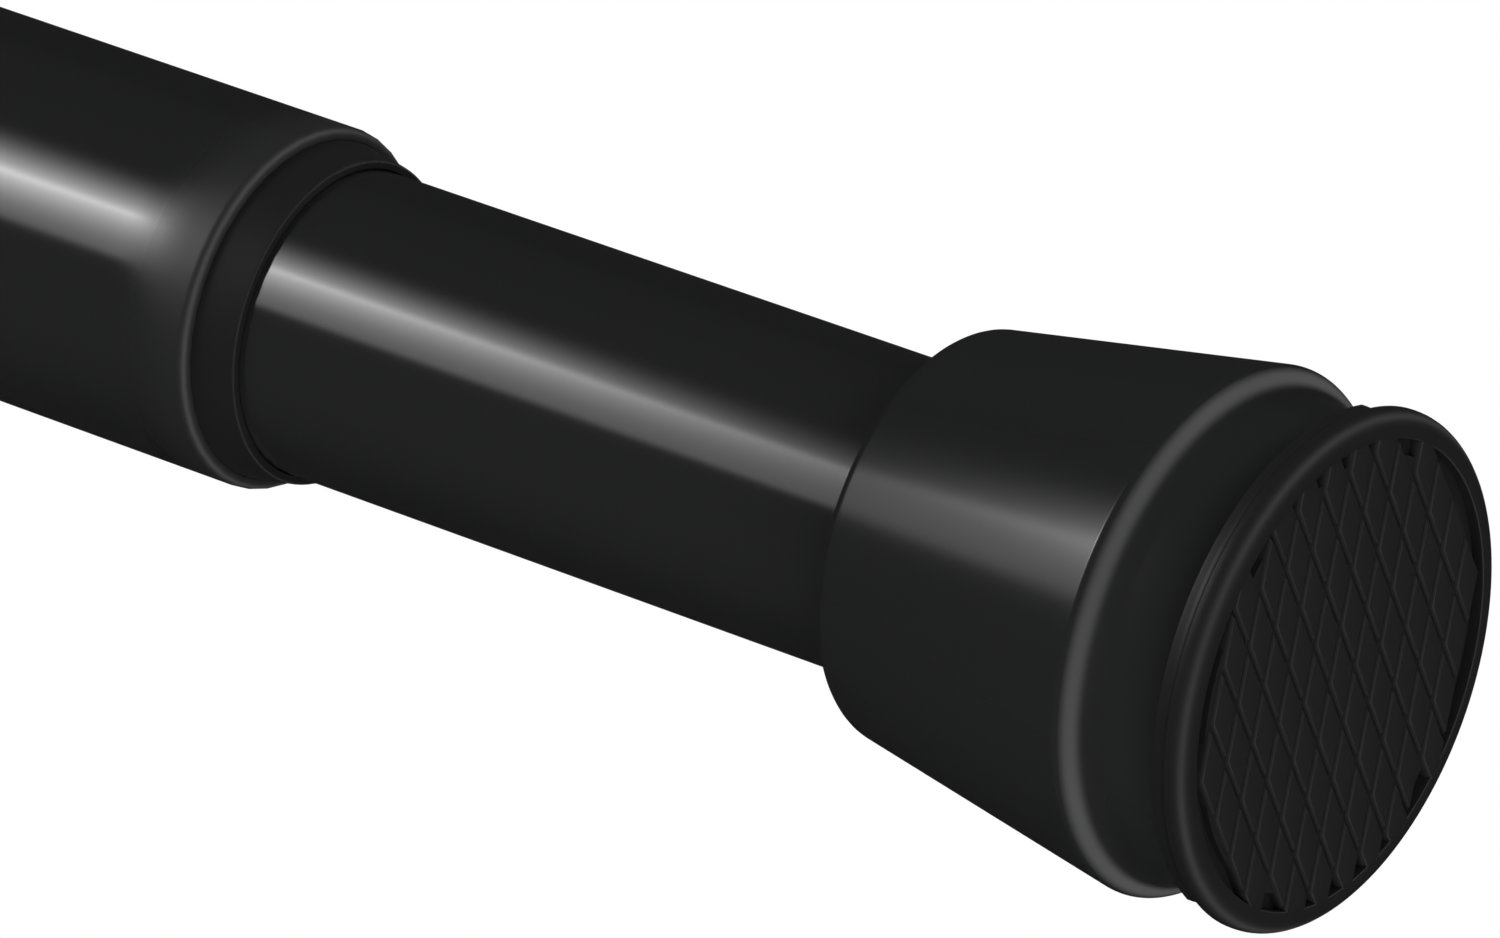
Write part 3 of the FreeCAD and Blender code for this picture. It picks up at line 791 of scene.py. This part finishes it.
@dataclass
class FootPad(EndPiece):
    """The soft pad of one foot: a rounded rim round a sunk field of raised diamonds.

    Sizes are in millimetres and angles in degrees. A setback is a distance from the foot's face.
    """

    kind: ClassVar[str] = "foot_pad"
    slot: ClassVar[str] = "soft_pad"
    rim_radius: float = 17.42
    front_round: float = 1.2
    edge_land: float = 0.2
    rim_thickness: float = 1.9
    back_taper: float = 0.6
    flange_radius: float = 17.32
    groove_radius: float = 17.29
    groove_setback: float = 1.6
    flange_thickness: float = 0.45
    flange_root: float = 0.05
    flange_steps: int = 64
    notch_angle: float = 57.0
    notch_span: float = 34.0
    rim_width: float = 1.75
    rim_inner_round: float = 0.12
    boss_radius: float = 11.0
    boss_setback: float = 5.0
    stud_room_radius: float = 7.05
    bead_room_radius: float = 7.55
    bead_room_setback: float = 3.45
    stud_room_setback: float = 2.35
    field_depth: float = 0.32
    field_margin: float = 0.4
    trench_width: float = 1.1
    trench_depth: float = 0.85
    spacing: float = 2.6
    sharp_angle: float = 43.0
    groove_top: float = 0.4
    groove_bottom: float = 0.15
    upright_angle: float = 94.5
    stud_round: float = 0.14
    stud_sink: float = 0.01
    stud_root: float = 0.56
    stud_steps: int = 3

    def outline(self) -> list[Point]:
        """Draw the pad's half outline, without flange and diamonds.

        Returns:
            Its points in the end's frame, in mm.
        """
        radius = self.rim_radius
        back = self.rim_thickness + self.flange_thickness
        inner = radius - self.rim_width
        lip = self.rim_inner_round
        trench = inner - self.trench_width
        points: list[Point] = [
            (-self.field_depth, 0.0), (-self.field_depth, trench), (-self.trench_depth, trench),
            (-self.trench_depth, inner),
        ]
        points += arc((-lip, inner), lip, 180.0, 90.0, steps=4)
        edge = self.front_round
        points += arc((0.0, radius - edge), edge, 90.0, 0.0, steps=10)
        points += [
            (-edge - self.edge_land, radius),
            (-self.rim_thickness, radius - self.back_taper),
            (-back, radius - self.back_taper),
            (-back, self.boss_radius),
            (-self.boss_setback, self.boss_radius),
            (-self.boss_setback, self.stud_room_radius),
            (-self.bead_room_setback, self.stud_room_radius),
            (-self.bead_room_setback, self.bead_room_radius),
            (-self.stud_room_setback, self.bead_room_radius),
            (-self.stud_room_setback, 0.0),
        ]
        return points

    def stud_outline(self, groove: float) -> list[Point]:
        """Draw one diamond about its own middle, with its long way along X.

        Args:
            groove: how much narrower than the spacing it is, in mm.

        Returns:
            Its four corners.
        """
        half = math.radians(self.sharp_angle / 2.0)
        width = self.spacing - groove
        long, short = width / 2.0 / math.sin(half), width / 2.0 / math.cos(half)
        return [(long, 0.0), (0.0, short), (-long, 0.0), (0.0, -short)]

    def stud_mesh(self) -> bpy.types.Mesh:
        """Make one raised diamond with rounded upper edges, standing along +Z.

        Returns:
            Its closed mesh.
        """
        rows = [(self.groove_bottom, -self.stud_root), (self.groove_bottom, 0.0)]
        top = self.field_depth - self.stud_sink
        rise = top - self.stud_round
        for index in range(self.stud_steps + 1):
            turn = math.pi / 2.0 * index / self.stud_steps
            inset = 2.0 * self.stud_round * (1.0 - math.cos(turn))
            rows.append((self.groove_top + inset, rise + self.stud_round * math.sin(turn)))
        shape = bmesh.new()
        rings = [
            [shape.verts.new((x * MM, y * MM, height * MM)) for x, y in self.stud_outline(groove)]
            for groove, height in rows
        ]
        for lower, upper in zip(rings, rings[1:]):
            for index in range(len(lower)):
                after = (index + 1) % len(lower)
                shape.faces.new([lower[index], lower[after], upper[after], upper[index]])
        shape.faces.new(rings[-1])
        shape.faces.new(rings[0][::-1])
        return mesh_from(shape, "diamond_stud")

    def stud_field(self) -> bpy.types.Mesh:
        """Lay out all diamonds whose middles lie in the field, cut off at the rim.

        Returns:
            Their mesh in the end's frame.
        """
        half = math.radians(self.sharp_angle / 2.0)
        long, short = self.spacing / 2.0 / math.sin(half), self.spacing / 2.0 / math.cos(half)
        radius = self.rim_radius - self.rim_width
        rows, columns = int(radius / long) + 1, int(radius / short) + 1
        stud = bpy.data.objects.new("diamond_stud", self.stud_mesh())
        recipe = Recipe("DiamondField", {
            "Stud": stud, "Long Step": long * MM, "Short Step": short * MM,
            "Field Radius": (radius - self.field_margin) * MM,
            "Cut Radius": (radius + self.rim_inner_round) * MM,
            "Cut Depth": 4.0 * self.trench_depth * MM,
            "Rows": 2 * rows + 1, "Columns": 2 * columns + 1, "Cut Corners": 96,
        })
        sheet = recipe.sheet
        size_x = (recipe.given("Rows") - 1) * recipe.given("Long Step")
        size_y = (recipe.given("Columns") - 1) * recipe.given("Short Step")
        grid = sheet.node("GeometryNodeMeshGrid", None, {
            "Size X": size_x, "Size Y": size_y,
            "Vertices X": recipe.given("Rows"), "Vertices Y": recipe.given("Columns"),
        })
        place = sheet.node("GeometryNodeInputPosition")
        row, column, _ = place.parts()
        count = row / recipe.given("Long Step") + column / recipe.given("Short Step")
        odd = count.rounded().size().modulo(2.0)
        spread = sheet.node("ShaderNodeVectorMath", {"operation": "LENGTH"}, {0: place}, "Value")
        dropped = odd.at_least(spread.above(recipe.given("Field Radius")))
        chosen = {"Geometry": grid, "Selection": dropped}
        kept = sheet.node("GeometryNodeDeleteGeometry", {"domain": "POINT"}, chosen)
        source = {"Object": recipe.given("Stud")}
        shape = sheet.node("GeometryNodeObjectInfo", None, source, "Geometry")
        laid = {"Points": kept, "Instance": shape}
        studs = sheet.node("GeometryNodeInstanceOnPoints", None, laid)
        real = sheet.node("GeometryNodeRealizeInstances", None, {0: studs})
        disc = sheet.node("GeometryNodeMeshCylinder", None, {
            "Vertices": recipe.given("Cut Corners"), "Radius": recipe.given("Cut Radius"),
            "Depth": recipe.given("Cut Depth"),
        })
        shared = {"operation": "INTERSECT", "solver": "EXACT"}
        cut = sheet.node("GeometryNodeMeshBoolean", shared, {"Mesh 2": [real, disc]})
        mesh = recipe.run(cut, self.finish)
        turn = Matrix.Rotation(math.radians(self.upright_angle), 4, "X")
        stand = Matrix(((0, 0, 1, 0), (1, 0, 0, 0), (0, 1, 0, 0), (0, 0, 0, 1)))
        mesh.transform(Matrix.Translation((-self.field_depth * MM, 0.0, 0.0)) @ turn @ stand)
        return mesh

    def add_flange(self, shape: bmesh.types.BMesh) -> None:
        """Add the two halves of the thin back flange, which two notches part.

        Args:
            shape: the pad's mesh so far, in the end frame.
        """
        low = -self.rim_thickness - self.flange_thickness + self.stud_sink
        high = -self.front_round - self.edge_land
        inner = self.rim_radius - self.back_taper - self.flange_root
        corners = (
            (low, inner), (low, self.flange_radius), (-self.rim_thickness, self.flange_radius),
            (-self.groove_setback, self.groove_radius), (high, self.rim_radius), (high, inner),
        )
        for turn in (0.0, 180.0):
            start = self.notch_angle + self.notch_span / 2.0 + turn
            reach = 180.0 - self.notch_span
            rings = []
            for index in range(self.flange_steps + 1):
                angle = math.radians(start + reach * index / self.flange_steps)
                side, up = math.cos(angle) * MM, math.sin(angle) * MM
                places = [(x * MM, radius * side, radius * up) for x, radius in corners]
                rings.append([shape.verts.new(place) for place in places])
            faces = [shape.faces.new(rings[0]), shape.faces.new(rings[-1])]
            for first, second in zip(rings, rings[1:]):
                for index in range(len(corners)):
                    strip = [first[index], first[index - 1], second[index - 1], second[index]]
                    faces.append(shape.faces.new(strip))
            bmesh.ops.recalc_face_normals(shape, faces=faces)

    def build(self) -> None:
        """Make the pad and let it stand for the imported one."""
        body = turned_mesh("pad_body", [(x * MM, radius * MM) for x, radius in self.outline()])
        shape = bmesh.new()
        shape.from_mesh(body)
        self.add_flange(shape)
        shape.from_mesh(self.stud_field())
        self.stand_in(mesh_from(shape, self.node()), f"{self.end.value}_diamond_pad", limit=40.0)


@dataclass
class TensionSpring:
    """The coil spring between the spindle's seat and the smaller tube's stop, in millimetres."""

    finish: bpy.types.Material
    wire_dia: float = 1.8
    turns: float = 13.0
    travel: float = 20.0
    points_per_turn: int = 48
    points_round_wire: int = 16

    def coil(self, mean_radius: float, length: float, start: float) -> bpy.types.Mesh:
        """Wind the wire about X.

        Args:
            mean_radius: the radius of the wire's centre line, in metres.
            length: the length of the centre line along X, in metres.
            start: where it starts along X.

        Returns:
            The coil's mesh.
        """
        recipe = Recipe("SpringCoil", {
            "Mean Radius": mean_radius, "Wire Radius": self.wire_dia / 2.0 * MM, "Length": length,
            "Turns": self.turns, "Start": start, "Points Per Turn": self.points_per_turn,
            "Points Round Wire": self.points_round_wire,
        })
        sheet = recipe.sheet
        line = sheet.node("GeometryNodeCurveSpiral", None, {
            "Resolution": recipe.given("Points Per Turn"),
            "Rotations": recipe.given("Turns"),
            "Start Radius": recipe.given("Mean Radius"),
            "End Radius": recipe.given("Mean Radius"),
            "Height": recipe.given("Length"),
            "Reverse": False,
        })
        section = sheet.node("GeometryNodeCurvePrimitiveCircle", None, {
            "Resolution": recipe.given("Points Round Wire"), "Radius": recipe.given("Wire Radius"),
        })
        wound = sheet.node("GeometryNodeCurveToMesh", None, {
            "Curve": line, "Profile Curve": section, "Fill Caps": True,
        })
        middle = sheet.node("ShaderNodeCombineXYZ", None, {"X": recipe.given("Start")})
        laid = sheet.node("GeometryNodeTransform", None, {
            "Geometry": wound, "Translation": middle, "Rotation": (0.0, math.pi / 2.0, 0.0),
        })
        mesh = recipe.run(laid, self.finish)
        smooth_by_angle(mesh, limit=50.0)
        return mesh

    def build(self) -> None:
        """Make the spring, a fixed coil that rides with the smaller tube; the real one shortens as
        that tube is pushed in.
        """
        low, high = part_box("tension_spring")
        wire = self.wire_dia / 2.0 * MM
        length = high.x - low.x
        mesh = self.coil(high.z - wire, length - 2.0 * wire, low.x + wire)
        piece = place_mesh(mesh, "wound_spring", self.finish)
        join_in(piece, "tension_spring", "inner_rod")
        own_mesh(piece)


@dataclass
class Tubes:
    """The two tubes and the slotted collar between them."""

    palette: Palette

    def build(self) -> None:
        """Dress the tubes and the collar."""
        dress("outer_tube", self.palette.larger_tube.material())
        dress("inner_tube", self.palette.smaller_tube.material())
        dress("mouth_collar", self.palette.collar.material())


@dataclass
class Feet:
    """Both end caps with their feet."""

    palette: Palette

    def build(self) -> None:
        """Dress caps, bases, screws and plugs, and make the pads."""
        cap, base = self.palette.cap.material(), self.palette.base.material()
        pad, plated = self.palette.pad.material(), self.palette.plated.material()
        nylon = self.palette.nylon.material()
        for end in RodEnd:
            EndCap(end, cap).build()
            dress(f"{end.value}_foot_base", base)
            dress(f"{end.value}_foot_screw", plated)
            dress(f"{end.value}_tube_plug", nylon)
            FootPad(end, pad).build()


@dataclass
class LockUnit:
    """The twist lock and spring unit inside the tubes."""

    palette: Palette

    def build(self) -> None:
        """Dress the lock's pieces and make the spring."""
        nylon, lock = self.palette.nylon.material(), self.palette.lock.material()
        plated = self.palette.plated.material()
        turned = ("spindle", "spindle_clip", "spindle_end_nut", "spring_seat", "spring_seat_pin")
        groups = (
            (("tail_bush", "spring_stop"), nylon, "natural_nylon"),
            (("lock_sleeve", "lock_cone"), lock, "lock_nylon"),
            (turned, plated, "plated_steel"),
        )
        for nodes, material, slot in groups:
            for node in nodes:
                dress(node, material)
        TensionSpring(self.palette.spring.material()).build()


@dataclass(frozen=True)
class SoftRange:
    """A range of values with soft ends.

    Attributes:
        low: where it starts.
        high: where it ends.
        low_blur: the width over which it fades in.
        high_blur: the width over which it fades out.
    """

    low: float
    high: float
    low_blur: float
    high_blur: float

    def share(self, value: Wire) -> Wire:
        """Return 1 for a value in the range, 0 for one beyond its soft ends."""
        fade_in = value.step(self.low - self.low_blur, self.low)
        return fade_in * value.step(self.high + self.high_blur, self.high)


@dataclass(frozen=True)
class LightPatch:
    """A soft patch of light in the studio's surroundings, seen from the rod.

    Attributes:
        reach: the X part of its direction, from -1 to 1.
        turn: the angle of its middle about the rod, in degrees from +Y towards +Z.
        spread: half its angle about the rod, in degrees.
        blur: the width of its soft sides, in degrees, or the power of a peaked falloff.
        strength: its brightness.
        falloff: how it fades across its angle.
    """

    reach: SoftRange
    turn: float
    spread: float
    blur: float
    strength: float
    falloff: Falloff = Falloff.FLAT

    def brightness(self, along: Wire, side: Wire, up: Wire) -> Wire:
        """Light one patch.

        Args:
            along: the X part of the direction that is looked in.
            side: its Y part, of unit length together with up.
            up: its Z part.

        Returns:
            The patch's brightness in that direction.
        """
        middle = math.radians(self.turn)
        away = (side * math.cos(middle) + up * math.sin(middle)).arc_cosine() * math.degrees(1.0)
        if self.falloff is Falloff.PEAKED:
            across = (1.0 - away / self.spread).at_least(0.0) ** self.blur
        else:
            across = away.step(self.spread + self.blur, self.spread)
        return self.reach.share(along) * across * self.strength


@dataclass(frozen=True)
class EdgeLight:
    """A curved softbox that the rod's rounded edges send towards the photographed side.

    Attributes:
        side: the direction towards the photographed side.
        slopes: the slopes towards the rod's end at which an edge shows it, in degrees.
        strength: its brightness.
        fall: how fast it fades away from that side, which evens out the sheen of grazing light.
    """

    side: Direction
    slopes: SoftRange
    strength: float
    fall: float = 0.87

    def brightness(self, sheet: NodeSheet, direction: Wire) -> Wire:
        """Light the softbox.

        Args:
            sheet: the world's tree.
            direction: the direction that is looked in, of unit length.

        Returns:
            The softbox's brightness in that direction.
        """
        pair = {0: direction, 1: self.side}
        both = sheet.node("ShaderNodeVectorMath", {"operation": "ADD"}, pair)
        along, _, _ = both.unit().parts()
        slope = 90.0 - along.arc_cosine() * math.degrees(1.0)
        near = ((direction.dot(self.side) + 1.0) * self.fall).at_most(1.0)
        return self.slopes.share(slope) * near * self.strength


@dataclass(frozen=True)
class FillLamp:
    """A large soft lamp that lights the rod evenly and isn't mirrored in its gloss.

    Attributes:
        name: the lamp's name.
        direction: the direction that it stands in, seen from the rod.
        strength: its strength.
        softness: the angle that it fills, in degrees.
    """

    name: str
    direction: Direction
    strength: float
    softness: float = 50.0

    def build(self) -> None:
        """Hang the lamp."""
        data = bpy.data.lights.new(self.name, "SUN")
        data.energy = self.strength
        data.angle = math.radians(self.softness)
        lamp = bpy.data.objects.new(self.name, data)
        lamp.rotation_mode = "QUATERNION"
        lamp.rotation_quaternion = Vector(self.direction).to_track_quat("Z", "Y")
        lamp.visible_glossy = False
        bpy.context.scene.collection.objects.link(lamp)


@dataclass
class Studio:
    """White surroundings with soft patches of light, a pale floor and the camera.

    Attributes:
        floor_height: the floor's place along Z, in metres.
        floor_size: the length of its sides.
        floor_colour: its colour.
        lens: the camera's focal length, in mm.
        sensor: the width of its picture plane, in mm.
        clip_start: the nearest distance that it sees, in metres.
        camera_offset: its place from the middle of the smaller tube's foot, in metres.
        camera_back: the direction that it stands in.
        ambient: the brightness of the dim ground on the camera's side.
        ambient_far: its brightness on the far side.
        ambient_near_dot: how far towards the camera a direction has to point for the first.
        ambient_far_dot: the same for the second.
        patches: the patches of light that the rod's sides mirror.
        edge: the softbox that its edges mirror.
        fills: the lamps that it doesn't mirror.
    """

    floor_height: float = -1.0
    floor_size: float = 6.0
    floor_colour: Colour = grey(0.8)
    lens: float = 296.04
    sensor: float = 36.0
    clip_start: float = 0.01
    camera_offset: Direction = (0.3915, -0.5685, 0.3684)
    camera_back: Direction = CAMERA_BACK
    ambient: float = 0.11
    ambient_far: float = 0.012
    ambient_near_dot: float = 0.3
    ambient_far_dot: float = -0.75
    patches: tuple[LightPatch, ...] = (
        LightPatch(
            SoftRange(-0.85, -0.55, 0.05, 0.06), turn=139.5, spread=12.5, blur=5.0, strength=2.2
        ),
        LightPatch(
            SoftRange(-0.66, -0.60, 0.14, 0.06), turn=127.0, spread=30.0, blur=2.4, strength=14.5,
            falloff=Falloff.PEAKED,
        ),
        LightPatch(
            SoftRange(-0.80, -0.60, 0.05, 0.06), turn=127.0, spread=0.8, blur=0.8, strength=4.5
        ),
    )
    edge: EdgeLight = EdgeLight(CAMERA_BACK, SoftRange(48.0, 51.0, 15.0, 8.0), strength=2.3)
    fills: tuple[FillLamp, ...] = (
        FillLamp("front_fill", direction=(0.5, -0.86, -0.1), strength=1.25),
        FillLamp("back_fill", direction=(-0.6, 0.7, 0.4), strength=2.2),
    )

    def world(self) -> None:
        """Make the surroundings: plain white where the camera sees them, the studio elsewhere."""
        made = bpy.data.worlds.new("studio")
        made.use_nodes = True
        bpy.context.scene.world = made
        sheet = NodeSheet(made.node_tree)
        direction = sheet.node("ShaderNodeTexCoord", output="Generated")
        along, _, _ = direction.parts()
        across = {0: direction, 1: (0.0, 1.0, 1.0)}
        flat = sheet.node("ShaderNodeVectorMath", {"operation": "MULTIPLY"}, across)
        _, side, up = flat.unit().parts()
        facing = direction.dot(self.camera_back).step(self.ambient_far_dot, self.ambient_near_dot)
        ambient = self.ambient_far + facing * (self.ambient - self.ambient_far)
        total = self.edge.brightness(sheet, direction) + ambient
        for patch in self.patches:
            total = patch.brightness(along, side, up) + total
        seen = sheet.node("ShaderNodeLightPath", output="Is Camera Ray")
        light = sheet.node("ShaderNodeBackground", None, {"Color": WHITE, "Strength": total})
        white = sheet.node("ShaderNodeBackground", None, {"Color": WHITE, "Strength": 1.0})
        shown = sheet.node("ShaderNodeMixShader", None, {0: seen, 1: light, 2: white})
        sheet.node("ShaderNodeOutputWorld", None, {"Surface": shown})

    def floor(self) -> None:
        """Make the pale floor, far below the hung rod and white where the camera sees it."""
        shape = bmesh.new()
        half = self.floor_size / 2.0
        corners = [(-half, -half), (half, -half), (half, half), (-half, half)]
        shape.faces.new([shape.verts.new((x, y, self.floor_height)) for x, y in corners])
        made = bpy.data.materials.new("pale_floor")
        made.use_nodes = True
        sheet = NodeSheet(made.node_tree)
        seen = sheet.node("ShaderNodeLightPath", output="Is Camera Ray")
        pale = sheet.node("ShaderNodeBsdfDiffuse", None, {"Color": (*self.floor_colour, 1.0)})
        white = sheet.node("ShaderNodeEmission", None, {"Strength": 1.0})
        shown = sheet.node("ShaderNodeMixShader", None, {0: seen, 1: pale, 2: white})
        sheet.node("ShaderNodeOutputMaterial", None, {"Surface": shown})
        floor = place_mesh(mesh_from(shape, "floor"), "floor", made)
        floor.visible_glossy = False

    def camera(self) -> None:
        """Stand the camera where the photograph was taken from."""
        face = Vector((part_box("inner_foot_pad")[1].x, 0.0, 0.0))
        back = Vector(self.camera_back)
        data = bpy.data.cameras.new("camera")
        data.lens = self.lens
        data.sensor_width = self.sensor
        data.clip_start = self.clip_start
        camera = bpy.data.objects.new("camera", data)
        camera.location = face + Vector(self.camera_offset)
        camera.rotation_mode = "QUATERNION"
        camera.rotation_quaternion = back.to_track_quat("Z", "Y")
        bpy.context.scene.collection.objects.link(camera)
        bpy.context.scene.camera = camera

    def build(self) -> None:
        """Make the studio."""
        bpy.context.scene.view_settings.view_transform = "Standard"
        self.camera()
        self.world()
        self.floor()
        for lamp in self.fills:
            lamp.build()
        LOG.info("built the studio with %d lamps", len(self.fills))


def main() -> None:
    """Build the studio and dress the rod, piece by piece."""
    logging.basicConfig(level=logging.INFO, format="%(message)s")
    palette = black_palette()
    Studio().build()
    for unit in (Tubes(palette), Feet(palette), LockUnit(palette)):
        unit.build()


if __name__ == "__main__":
    main()
